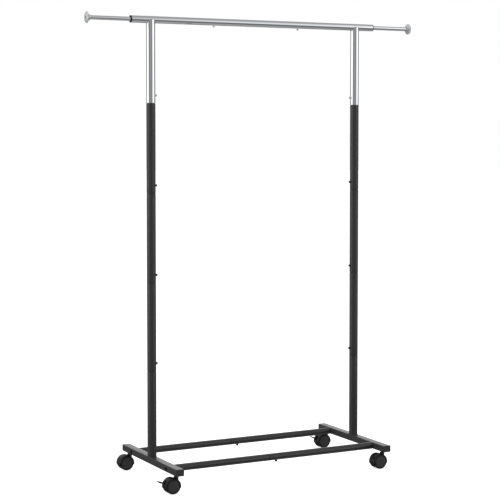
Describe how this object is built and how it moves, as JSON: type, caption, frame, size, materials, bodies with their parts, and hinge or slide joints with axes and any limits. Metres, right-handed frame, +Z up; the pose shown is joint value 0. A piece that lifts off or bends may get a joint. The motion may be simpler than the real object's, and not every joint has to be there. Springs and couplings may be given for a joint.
{
  "type": "rolling clothes rack",
  "caption": "Free-standing clothes rack: chrome top rail with sliding end rods on two plug-together posts, on a base of feet and crossbars with swivel casters.",
  "frame": {"origin": "on the floor under the middle of the rack", "axes": "+X along the top rail towards the right post, +Y along the feet towards the far side, +Z up"},
  "size_m": [1.2346, 0.444, 1.5405],
  "materials": {
    "chrome_plate": "bright chrome plate on steel tube",
    "black_powder_coat": "satin black powder coat on steel tube",
    "silver_plastic": "silver-coloured smooth moulding",
    "black_abs": "satin black ABS",
    "black_nylon": "satin black nylon",
    "black_oxide_steel": "black oxide steel"
  },
  "bodies": {
    "frame": {"top_rail": "chrome_plate", "rail_bush_left": "black_abs", "chrome_upright_left": "chrome_plate", "post_tube_left_1": "black_powder_coat", "post_tube_left_2": "black_powder_coat", "post_tube_left_3": "black_powder_coat", "foot_left": "black_powder_coat", "foot_plug_left_near": "black_abs", "bar_bolt_left_near": "black_oxide_steel", "caster_stem_left_near": "black_oxide_steel", "foot_plug_left_far": "black_abs", "bar_bolt_left_far": "black_oxide_steel", "caster_stem_left_far": "black_oxide_steel", "rail_bush_right": "black_abs", "chrome_upright_right": "chrome_plate", "post_tube_right_1": "black_powder_coat", "post_tube_right_2": "black_powder_coat", "post_tube_right_3": "black_powder_coat", "foot_right": "black_powder_coat", "foot_plug_right_near": "black_abs", "bar_bolt_right_near": "black_oxide_steel", "caster_stem_right_near": "black_oxide_steel", "foot_plug_right_far": "black_abs", "bar_bolt_right_far": "black_oxide_steel", "caster_stem_right_far": "black_oxide_steel", "crossbar_near_left": "black_powder_coat", "crossbar_near_right": "black_powder_coat", "crossbar_far_left": "black_powder_coat", "crossbar_far_right": "black_powder_coat"},
    "rod_left": {"extension_rod_left": "chrome_plate", "end_disc_left": "silver_plastic"},
    "rod_right": {"extension_rod_right": "chrome_plate", "end_disc_right": "silver_plastic"},
    "rail_lock_left": {"rail_button_left": "chrome_plate"},
    "post_lock_left_1": {"post_button_left_1": "black_nylon"},
    "post_lock_left_2": {"post_button_left_2": "black_nylon"},
    "post_lock_left_3": {"post_button_left_3": "black_nylon"},
    "post_lock_left_4": {"post_button_left_4": "chrome_plate"},
    "rail_lock_right": {"rail_button_right": "chrome_plate"},
    "post_lock_right_1": {"post_button_right_1": "black_nylon"},
    "post_lock_right_2": {"post_button_right_2": "black_nylon"},
    "post_lock_right_3": {"post_button_right_3": "black_nylon"},
    "post_lock_right_4": {"post_button_right_4": "chrome_plate"},
    "bar_lock_near": {"bar_button_near": "black_nylon"},
    "bar_lock_far": {"bar_button_far": "black_nylon"},
    "caster_left_near": {"caster_hood_left_near": "black_abs"},
    "wheel_left_near_front": {"wheel_left_near_front": "black_nylon"},
    "wheel_left_near_back": {"wheel_left_near_back": "black_nylon"},
    "brake_left_near": {"brake_lever_left_near": "black_abs"},
    "caster_left_far": {"caster_hood_left_far": "black_abs"},
    "wheel_left_far_front": {"wheel_left_far_front": "black_nylon"},
    "wheel_left_far_back": {"wheel_left_far_back": "black_nylon"},
    "caster_right_near": {"caster_hood_right_near": "black_abs"},
    "wheel_right_near_front": {"wheel_right_near_front": "black_nylon"},
    "wheel_right_near_back": {"wheel_right_near_back": "black_nylon"},
    "caster_right_far": {"caster_hood_right_far": "black_abs"},
    "wheel_right_far_front": {"wheel_right_far_front": "black_nylon"},
    "wheel_right_far_back": {"wheel_right_far_back": "black_nylon"},
    "brake_right_far": {"brake_lever_right_far": "black_abs"}
  },
  "joints": [
    {"name": "rod_slide_left", "type": "slide", "parent": "frame", "child": "rod_left", "axis": [-1, 0, 0], "range_m": [-0.14, 0]},
    {"name": "rod_slide_right", "type": "slide", "parent": "frame", "child": "rod_right", "axis": [1, 0, 0], "range_m": [-0.14, 0]},
    {"name": "rail_lock_press_left", "type": "slide", "parent": "frame", "child": "rail_lock_left", "axis": [0, 0, 1], "range_m": [0, 0.0045], "stiffness_N_per_m": 500, "springref_m": -0.001},
    {"name": "post_lock_press_left_1", "type": "slide", "parent": "frame", "child": "post_lock_left_1", "axis": [-1, 0, 0], "range_m": [0, 0.005], "stiffness_N_per_m": 500, "springref_m": -0.001},
    {"name": "post_lock_press_left_2", "type": "slide", "parent": "frame", "child": "post_lock_left_2", "axis": [-1, 0, 0], "range_m": [0, 0.005], "stiffness_N_per_m": 500, "springref_m": -0.001},
    {"name": "post_lock_press_left_3", "type": "slide", "parent": "frame", "child": "post_lock_left_3", "axis": [-1, 0, 0], "range_m": [0, 0.005], "stiffness_N_per_m": 500, "springref_m": -0.001},
    {"name": "post_lock_press_left_4", "type": "slide", "parent": "frame", "child": "post_lock_left_4", "axis": [-1, 0, 0], "range_m": [0, 0.005], "stiffness_N_per_m": 500, "springref_m": -0.001},
    {"name": "rail_lock_press_right", "type": "slide", "parent": "frame", "child": "rail_lock_right", "axis": [0, 0, 1], "range_m": [0, 0.0045], "stiffness_N_per_m": 500, "springref_m": -0.001},
    {"name": "post_lock_press_right_1", "type": "slide", "parent": "frame", "child": "post_lock_right_1", "axis": [1, 0, 0], "range_m": [0, 0.005], "stiffness_N_per_m": 500, "springref_m": -0.001},
    {"name": "post_lock_press_right_2", "type": "slide", "parent": "frame", "child": "post_lock_right_2", "axis": [1, 0, 0], "range_m": [0, 0.005], "stiffness_N_per_m": 500, "springref_m": -0.001},
    {"name": "post_lock_press_right_3", "type": "slide", "parent": "frame", "child": "post_lock_right_3", "axis": [1, 0, 0], "range_m": [0, 0.005], "stiffness_N_per_m": 500, "springref_m": -0.001},
    {"name": "post_lock_press_right_4", "type": "slide", "parent": "frame", "child": "post_lock_right_4", "axis": [1, 0, 0], "range_m": [0, 0.005], "stiffness_N_per_m": 500, "springref_m": -0.001},
    {"name": "bar_lock_press_near", "type": "slide", "parent": "frame", "child": "bar_lock_near", "axis": [0, 0, 1], "range_m": [0, 0.005], "stiffness_N_per_m": 500, "springref_m": -0.001},
    {"name": "bar_lock_press_far", "type": "slide", "parent": "frame", "child": "bar_lock_far", "axis": [0, 0, 1], "range_m": [0, 0.005], "stiffness_N_per_m": 500, "springref_m": -0.001},
    {"name": "caster_swivel_left_near", "type": "hinge", "parent": "frame", "child": "caster_left_near", "pos_m": [-0.39, -0.1905, 0.05], "axis": [0, 0, 1], "continuous": true},
    {"name": "wheel_spin_left_near_front", "type": "hinge", "parent": "caster_left_near", "child": "wheel_left_near_front", "pos_m": [-0.406, -0.202, 0.025], "axis": [0, 1, 0], "continuous": true},
    {"name": "wheel_spin_left_near_back", "type": "hinge", "parent": "caster_left_near", "child": "wheel_left_near_back", "pos_m": [-0.406, -0.179, 0.025], "axis": [0, 1, 0], "continuous": true},
    {"name": "brake_press_left_near", "type": "hinge", "parent": "caster_left_near", "child": "brake_left_near", "pos_m": [-0.4235, -0.1905, 0.035], "axis": [0, -1, 0], "range_deg": [0, 22]},
    {"name": "caster_swivel_left_far", "type": "hinge", "parent": "frame", "child": "caster_left_far", "pos_m": [-0.39, 0.1905, 0.05], "axis": [0, 0, 1], "continuous": true},
    {"name": "wheel_spin_left_far_front", "type": "hinge", "parent": "caster_left_far", "child": "wheel_left_far_front", "pos_m": [-0.406, 0.179, 0.025], "axis": [0, 1, 0], "continuous": true},
    {"name": "wheel_spin_left_far_back", "type": "hinge", "parent": "caster_left_far", "child": "wheel_left_far_back", "pos_m": [-0.406, 0.202, 0.025], "axis": [0, 1, 0], "continuous": true},
    {"name": "caster_swivel_right_near", "type": "hinge", "parent": "frame", "child": "caster_right_near", "pos_m": [0.39, -0.1905, 0.05], "axis": [0, 0, 1], "continuous": true},
    {"name": "wheel_spin_right_near_front", "type": "hinge", "parent": "caster_right_near", "child": "wheel_right_near_front", "pos_m": [0.374, -0.202, 0.025], "axis": [0, 1, 0], "continuous": true},
    {"name": "wheel_spin_right_near_back", "type": "hinge", "parent": "caster_right_near", "child": "wheel_right_near_back", "pos_m": [0.374, -0.179, 0.025], "axis": [0, 1, 0], "continuous": true},
    {"name": "caster_swivel_right_far", "type": "hinge", "parent": "frame", "child": "caster_right_far", "pos_m": [0.39, 0.1905, 0.05], "axis": [0, 0, 1], "continuous": true},
    {"name": "wheel_spin_right_far_front", "type": "hinge", "parent": "caster_right_far", "child": "wheel_right_far_front", "pos_m": [0.374, 0.179, 0.025], "axis": [0, 1, 0], "continuous": true},
    {"name": "wheel_spin_right_far_back", "type": "hinge", "parent": "caster_right_far", "child": "wheel_right_far_back", "pos_m": [0.374, 0.202, 0.025], "axis": [0, 1, 0], "continuous": true},
    {"name": "brake_press_right_far", "type": "hinge", "parent": "caster_right_far", "child": "brake_right_far", "pos_m": [0.3565, 0.1905, 0.035], "axis": [0, -1, 0], "range_deg": [0, 22]}
  ]
}
